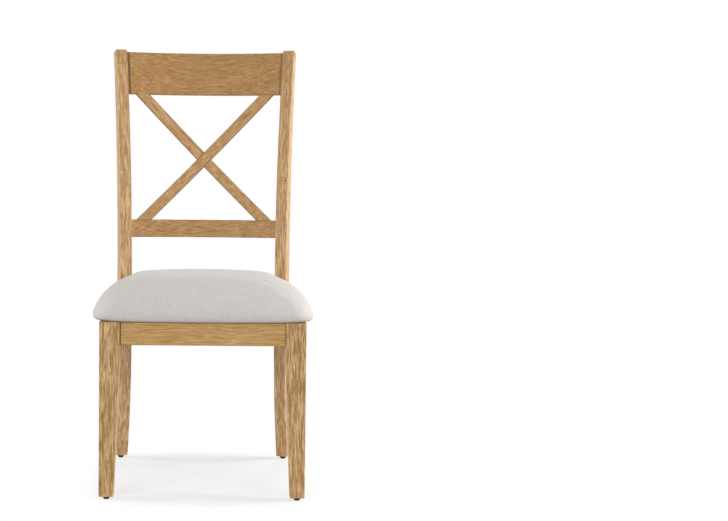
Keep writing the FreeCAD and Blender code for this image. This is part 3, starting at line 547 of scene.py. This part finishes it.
def dress_back():
    """Finishes the crest, the lower rail and the crossed braces between the posts."""
    # Painted shade where the crest's ends meet the posts, deeper at the left.
    left_end = ((-1, 0, -0.06), 0.1289, 0.006, 0.8)
    right_end = ((1, 0, -0.06), 0.1289, 0.005, 0.5)
    dress(oak("oak_crest", ACROSS, (0.1, 0.3, 0.7), (-0.84, 0.46), ring=0.009, base=(174, 133, 81),
              figure=0.22, streaks=0.9, shadows=(left_end, right_end)), "crest_rail")
    dress(oak("oak_lower_rail", ACROSS, (0.4, 0.1, 0.2), (-0.2, 0.3), base=(175, 134, 84),
              figure=0.2, streaks=1.1), "lower_back_rail")
    dress(oak("oak_rising_brace", (0, -BRACE_LEAN, 0), (0.2, 0.3, 0.1), (0.2, 0.6), base=BRACE_TONE,
              figure=0.3, streaks=1.3), "cross_brace_rising")
    dress(oak("oak_falling_brace", (0, BRACE_LEAN, 0), (0.5, 0.4, 0.6), (0.6, 0.7), base=BRACE_TONE,
              figure=0.3, streaks=1.3), "cross_brace_falling")


def dress_seat_frame():
    # Painted shade where the apron meets the legs, deeper at the left, and along its top under the seat
    # pad.
    left = ((-1, 0, 0), 0.175, 0.0042, 1)
    right = ((1, 0, 0), 0.175, 0.0024, 0.6)
    top = ((0, 0, 1), SEAT_FRAME_TOP, 0.0024, 0.8)
    dress(oak("oak_apron", ACROSS, (0.8, 0.2, 0.5), (0.5, 0.0), base=(194, 153, 96), figure=0.25,
              streaks=0.9, shadows=(left, right, top)), "front_apron")
    dress(oak("oak_rear_rail", ACROSS, (0.5, 0.6, 0.2), (0.2, 0.8)), "rear_seat_rail")
    dress(oak("oak_side_rails", BACKWARD, (0.5, 0.6, 0.2), (0.5, 0.3)), *pair("side_rail"))


def dress_hidden_parts():
    """Finishes what shows only from below, or when the chair is taken apart."""
    block = plain_wood("block_wood", UPRIGHT, shade(214, 186, 146), shade(186, 152, 108))
    dress(block, *pair("corner_block_front"), *pair("corner_block_rear"))
    dowel = plain_wood("dowel_wood", ACROSS, shade(206, 170, 128), shade(180, 140, 98))
    dress(dowel, "apron_dowels", "side_rail_front_dowels", "side_rail_rear_dowels", "rear_rail_dowels")
    dress(plywood(), "seat_board")
    dress(glide_plastic(), *pair("foot_glide_front"), *pair("foot_glide_back"))
    dress(zinc_steel(), "corner_block_screws", "seat_screws", "glide_nails")


def shade_faces(piece, smooth):
    for face in piece.data.polygons:
        face.use_smooth = smooth


def stand(name, data, place=(0, 0, 0)):
    """Puts a mesh, a lamp or a camera in the scene."""
    thing = bpy.data.objects.new(name, data)
    thing.location = place
    bpy.context.scene.collection.objects.link(thing)
    return thing


def cast(name, shape, material):
    """Makes an object from a bmesh, with its place in its mesh."""
    mesh = bpy.data.meshes.new(name)
    shape.to_mesh(mesh)
    shape.free()
    mesh.materials.append(material)
    return stand(name, mesh)


def add_piece(name, shape, material):
    """Makes a new piece from a bmesh and fixes it to the chair."""
    piece = cast(name, shape, material)
    shade_faces(piece, True)
    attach(piece, "root")
    return piece


def copied(name):
    """The merged mesh of a CAD node as a bmesh."""
    shape = bmesh.new()
    shape.from_mesh(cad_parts[name].data)
    bmesh.ops.remove_doubles(shape, verts=shape.verts, dist=WELD)
    return shape


def cut(shape, place, direction, drop=False):
    """Cuts a bmesh along a plane, and drops what lies beyond it where asked."""
    everything = shape.verts[:] + shape.edges[:] + shape.faces[:]
    bmesh.ops.bisect_plane(shape, geom=everything, plane_co=place, plane_no=direction, clear_outer=drop)


def take(piece):
    """Applies all of a piece's modifiers."""
    bpy.context.view_layer.update()
    seen = piece.evaluated_get(bpy.context.evaluated_depsgraph_get())
    done = bpy.data.meshes.new_from_object(seen)
    old = piece.data
    piece.modifiers.clear()
    piece.data = done
    bpy.data.meshes.remove(old)


def even_skin(piece):
    """Divides a piece's skin evenly and eases its edges once."""
    remesh = piece.modifiers.new("even", "REMESH")
    remesh.mode = "VOXEL"
    remesh.voxel_size = PAD_VOXEL
    take(piece)
    shape = bmesh.new()
    shape.from_mesh(piece.data)
    bmesh.ops.smooth_vert(shape, verts=shape.verts, factor=0.5, use_axis_x=True, use_axis_y=True,
                          use_axis_z=True)
    shape.to_mesh(piece.data)
    shape.free()


def held_points(pad):
    """The points of the pad that don't swell: its lowest rim and those round the board."""
    board_low, board_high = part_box("seat_board")
    rim_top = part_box("seat_foam")[0][2] + PAD_EDGE
    held = []
    for vertex in pad.data.vertices:
        by_board = all(board_low[axis] - PAD_MARGIN < vertex.co[axis] < board_high[axis] + PAD_MARGIN
                       for axis in range(3))
        if by_board or vertex.co.z < rim_top:
            held.append(vertex.index)
    return held


def blow_up(piece, held):
    """Lets the skin of a piece swell as stretched cloth does, but not where it is held."""
    group = piece.vertex_groups.new(name="held")
    group.add(held, 1, "REPLACE")
    start = [vertex.co.copy() for vertex in piece.data.vertices]
    cloth = piece.modifiers.new("swell", "CLOTH")
    cloth.settings.use_pressure = True
    cloth.settings.uniform_pressure_force = PAD_PRESSURE
    cloth.settings.effector_weights.gravity = 0
    cloth.settings.vertex_group_mass = "held"
    for number in range(1, PAD_FRAMES + 1):
        bpy.context.scene.frame_set(number)
    take(piece)
    bpy.context.scene.frame_set(1)
    piece.vertex_groups.clear()
    for vertex, place in zip(piece.data.vertices, start):
        move = vertex.co - place
        if move.length > PAD_LIMIT:
            vertex.co = place + move.normalized() * PAD_LIMIT


def fit_to(piece, low, high):
    """Stretches a piece slightly along each axis, so that it fills a box."""
    for axis in range(3):
        places = [vertex.co[axis] for vertex in piece.data.vertices]
        start = min(places)
        scale = (high[axis] - low[axis]) / (max(places) - start)
        for vertex in piece.data.vertices:
            vertex.co[axis] = low[axis] + (vertex.co[axis] - start) * scale


def seat_pad(material):
    """Upholstered pad: the foam's form under its stretched cover."""
    pad = add_piece("seat_pad", copied("seat_foam"), material)
    even_skin(pad)
    blow_up(pad, held_points(pad))
    low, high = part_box("seat_cover")
    fit_to(pad, (low[0], low[1], low[2] + PAD_LIFT), high)
    shade_faces(pad, True)
    finer = pad.modifiers.new("finer", "SUBSURF")
    finer.levels = 1
    finer.render_levels = 1
    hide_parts("seat_foam", "seat_cover")


def cover_fold(material):
    """The cover's hem, pulled round under the board."""
    hem_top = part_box("seat_cover")[0][2] + HEM_THICKNESS
    shape = copied("seat_cover")
    cut(shape, (0, 0, hem_top), (0, 0, 1), drop=True)
    rim = [edge for edge in shape.edges if edge.is_boundary]
    bmesh.ops.triangle_fill(shape, use_beauty=True, use_dissolve=False, edges=rim)
    bmesh.ops.recalc_face_normals(shape, faces=shape.faces)
    fold = add_piece("cover_fold", shape, material)
    shade_faces(fold, False)


def hang(across, back):
    """How far the dust sheet hangs down at a place, fading to nothing near its edges."""
    from_side = 1 - abs(across) / SHEET_HALF_WIDTH
    half_run = (SHEET_REAR - SHEET_FRONT) / 2
    from_end = min(back - SHEET_FRONT, SHEET_REAR - back) / half_run
    slack = max(0, min(from_side, from_end))
    across_turn, back_turn = SHEET_RIPPLE_TURNS
    ripple = SHEET_RIPPLE * math.sin(across * across_turn) * math.sin(back * back_turn + 1)
    return (SHEET_SAG + ripple) * slack ** SHEET_ROUNDING


def dust_sheet(material):
    """Black cloth under the seat board, hanging a little in the middle of the frame."""
    shape = copied("seat_dust_cover")
    others = [face for face in shape.faces if face.normal.z > -0.5]
    bmesh.ops.delete(shape, geom=others, context="FACES")
    low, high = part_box("seat_dust_cover")
    for axis, direction in enumerate((Vector((1, 0, 0)), Vector((0, 1, 0)))):
        run = high[axis] - low[axis]
        lines = round(run / SHEET_GRID)
        for number in range(1, lines):
            cut(shape, direction * (low[axis] + number * run / lines), direction)
    for vertex in shape.verts:
        vertex.co.z += SHEET_LIFT - hang(vertex.co.x, vertex.co.y)
    sheet = add_piece("dust_sheet", shape, material)
    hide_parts("seat_dust_cover")


def floor_paint():
    """Pale matt floor near the feet, nothing further out."""
    half_width, half_depth = FLOOR_PATCH
    paint = new_paint("floor")
    across, back, _ = paint.place().parts()
    sides = (across / half_width) ** FLOOR_CORNERS
    ends = ((back - FLOOR_MIDDLE) / half_depth) ** FLOOR_CORNERS
    away = (sides + ends) ** (1 / FLOOR_CORNERS)
    matt = paint.node("ShaderNodeBsdfDiffuse", {}, {"Color": shade(240, 240, 240)})
    glow = paint.node("ShaderNodeEmission", {}, {"Color": WHITE, "Strength": 1})
    lit = paint.mix_shaders(paint.ray("Is Camera Ray") * FLOOR_GLOW, matt, glow)
    clear = paint.node("ShaderNodeBsdfTransparent", {}, {})
    surface = paint.mix_shaders(away.step(*FLOOR_FADE), lit, clear)
    paint.add("ShaderNodeOutputMaterial", {}, {"Surface": surface})
    return paint.owner


def add_floor():
    """Floor that keeps the chair's shadow and fades into the backdrop outside its feet."""
    shape = bmesh.new()
    bmesh.ops.create_circle(shape, cap_ends=True, segments=96, radius=FLOOR_RADIUS)
    floor = cast("floor", shape, floor_paint())


def add_sky():
    """White backdrop for the camera and for reflections, softer light for everything else."""
    world = bpy.data.worlds.new("studio")
    bpy.context.scene.world = world
    paint = Paint(world)
    shown = paint.ray("Is Camera Ray")
    for kind in ("Is Glossy Ray", "Is Transmission Ray"):
        shown = shown.larger(paint.ray(kind))
    backdrop = paint.node("ShaderNodeBackground", {}, {"Color": WHITE, "Strength": 1})
    light = paint.node("ShaderNodeBackground", {}, {"Color": WHITE, "Strength": SKY_LIGHT})
    paint.add("ShaderNodeOutputWorld", {}, {"Surface": paint.mix_shaders(shown, light, backdrop)})


def add_lamps():
    """Square soft boxes that face the seat."""
    for name, (place, power) in LAMPS.items():
        lamp = bpy.data.lights.new(name, "AREA")
        lamp.shape = "SQUARE"
        lamp.size = LAMP_SIZE
        lamp.energy = power
        holder = stand(name, lamp, place)
        aim = Vector(LAMP_AIM) - Vector(place)
        holder.rotation_euler = aim.to_track_quat("-Z", "Y").to_euler()


def add_camera():
    camera = bpy.data.cameras.new("camera")
    camera.lens = CAMERA_LENS
    camera.shift_x = CAMERA_SHIFT
    holder = stand("camera", camera, CAMERA_PLACE)
    holder.rotation_euler = (math.radians(90 - CAMERA_PITCH), 0, 0)
    holder.rotation_euler.rotate_axis("Z", math.radians(CAMERA_ROLL))
    bpy.context.scene.camera = holder


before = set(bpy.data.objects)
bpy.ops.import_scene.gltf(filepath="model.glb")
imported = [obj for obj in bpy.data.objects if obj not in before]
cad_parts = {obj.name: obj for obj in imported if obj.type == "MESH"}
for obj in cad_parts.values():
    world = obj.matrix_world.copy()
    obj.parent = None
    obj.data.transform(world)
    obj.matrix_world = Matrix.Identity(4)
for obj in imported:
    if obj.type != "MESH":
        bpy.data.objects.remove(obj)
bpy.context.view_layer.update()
bpy.context.scene.view_settings.view_transform = "Standard"
dress_legs()
dress_posts()
dress_back()
dress_seat_frame()
dress_hidden_parts()
fabric = seat_fabric()
seat_pad(fabric)
cover_fold(fabric)
dust_sheet(dust_cloth())
add_floor()
add_sky()
add_lamps()
add_camera()
